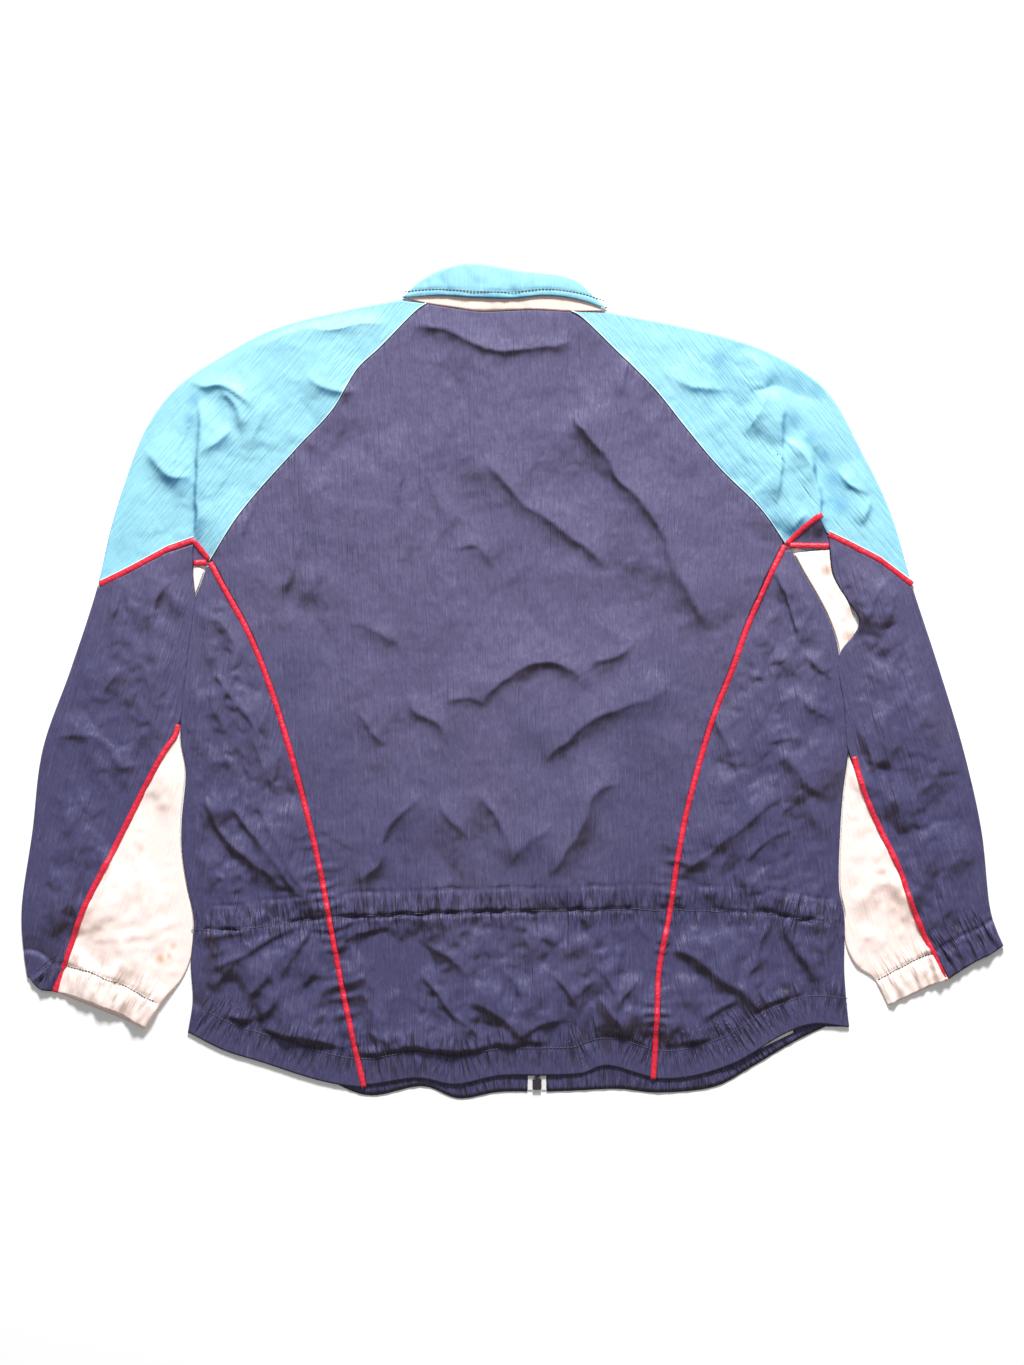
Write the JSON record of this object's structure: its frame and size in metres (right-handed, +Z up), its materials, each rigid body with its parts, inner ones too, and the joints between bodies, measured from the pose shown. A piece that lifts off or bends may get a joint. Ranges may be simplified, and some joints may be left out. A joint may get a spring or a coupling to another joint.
{
  "type": "windbreaker jacket",
  "caption": "Colour-blocked windbreaker laid flat on its front: raglan yokes, piped princess seams, turned collar, gathered waist, cuffs and hem.",
  "frame": {"origin": "middle of the laid jacket's bounding box, on the surface it lies on", "axes": "+X towards the right-hand sleeve as pictured, +Y towards the collar, +Z up from the surface, out of the back"},
  "size_m": [0.9806, 0.8343, 0.0155],
  "materials": {
    "navy_nylon": "crinkled nylon shell, low sheen",
    "sky_nylon": "crinkled nylon shell, low sheen",
    "cream_nylon": "crinkled nylon shell, pinkish with age",
    "white_lining": "smooth light lining",
    "red_piping": "folded nylon over cord",
    "zip_tape": "woven tape",
    "zip_coil": "moulded coil",
    "zip_plate": "stiffened tape end",
    "zip_metal": "dark enamel"
  },
  "bodies": {
    "jacket": {"back_centre": "navy_nylon", "back_side_left": "navy_nylon", "back_side_right": "navy_nylon", "yoke_left": "sky_nylon", "yoke_right": "sky_nylon", "sleeve_left": "navy_nylon", "sleeve_right": "navy_nylon", "gusset_left": "cream_nylon", "gusset_right": "cream_nylon", "front_left": "navy_nylon", "front_right": "navy_nylon", "lining_right": "white_lining", "collar_stand": "cream_nylon", "collar_fall": "sky_nylon", "piping_back_left": "red_piping", "piping_back_right": "red_piping", "piping_yoke_left": "red_piping", "piping_yoke_right": "red_piping", "piping_underarm_left": "red_piping", "piping_underarm_right": "red_piping", "piping_sleeve_left": "red_piping", "piping_sleeve_right": "red_piping", "zip_tape_left": "zip_tape", "zip_tape_right": "zip_tape", "zip_chain": "zip_coil", "zip_end_left": "zip_plate", "zip_end_right": "zip_plate", "zip_box": "zip_metal", "zip_slider": "zip_metal"},
    "pull_tab": {"zip_pull_tab": "zip_metal"}
  },
  "joints": [
    {"name": "pull_tab_hinge", "type": "hinge", "parent": "jacket", "child": "pull_tab", "pos_m": [0.025, 0.3515, 0.0018], "axis": [1, 0, 0], "range_deg": [0, 170]}
  ]
}
